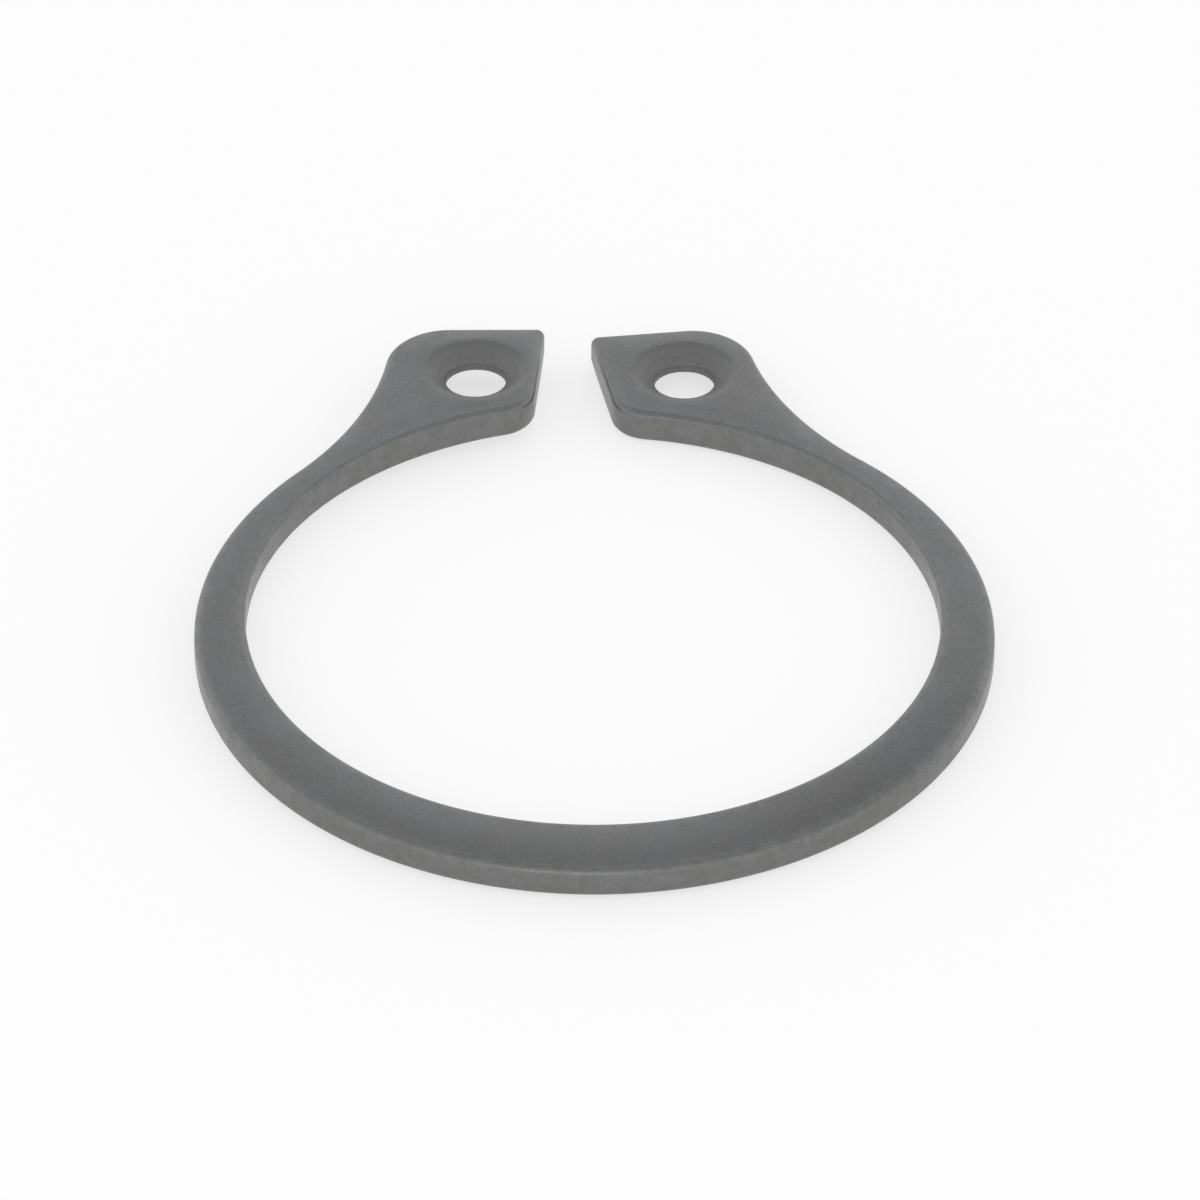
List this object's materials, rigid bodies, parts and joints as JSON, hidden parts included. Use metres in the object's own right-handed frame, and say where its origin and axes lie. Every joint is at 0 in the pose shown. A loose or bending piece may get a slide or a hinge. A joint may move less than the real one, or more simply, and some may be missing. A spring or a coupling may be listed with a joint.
{
  "type": "external retaining ring",
  "caption": "Flat external retaining ring of dark spring steel: an open C that is widest opposite its gap, with two lugs and bevelled plier holes.",
  "frame": {"origin": "on the bore's axis, in the face that the ring lies on", "axes": "+Z along the bore's axis, up through the ring's thickness; +Y from the bore's axis through the gap between the lugs; +X to the right of the gap seen from above"},
  "size_m": [0.0254, 0.0294, 0.0012],
  "materials": {
    "spring_steel": "phosphated, satin dark grey"
  },
  "bodies": {
    "root": {"retaining_ring": "spring_steel"}
  },
  "joints": []
}
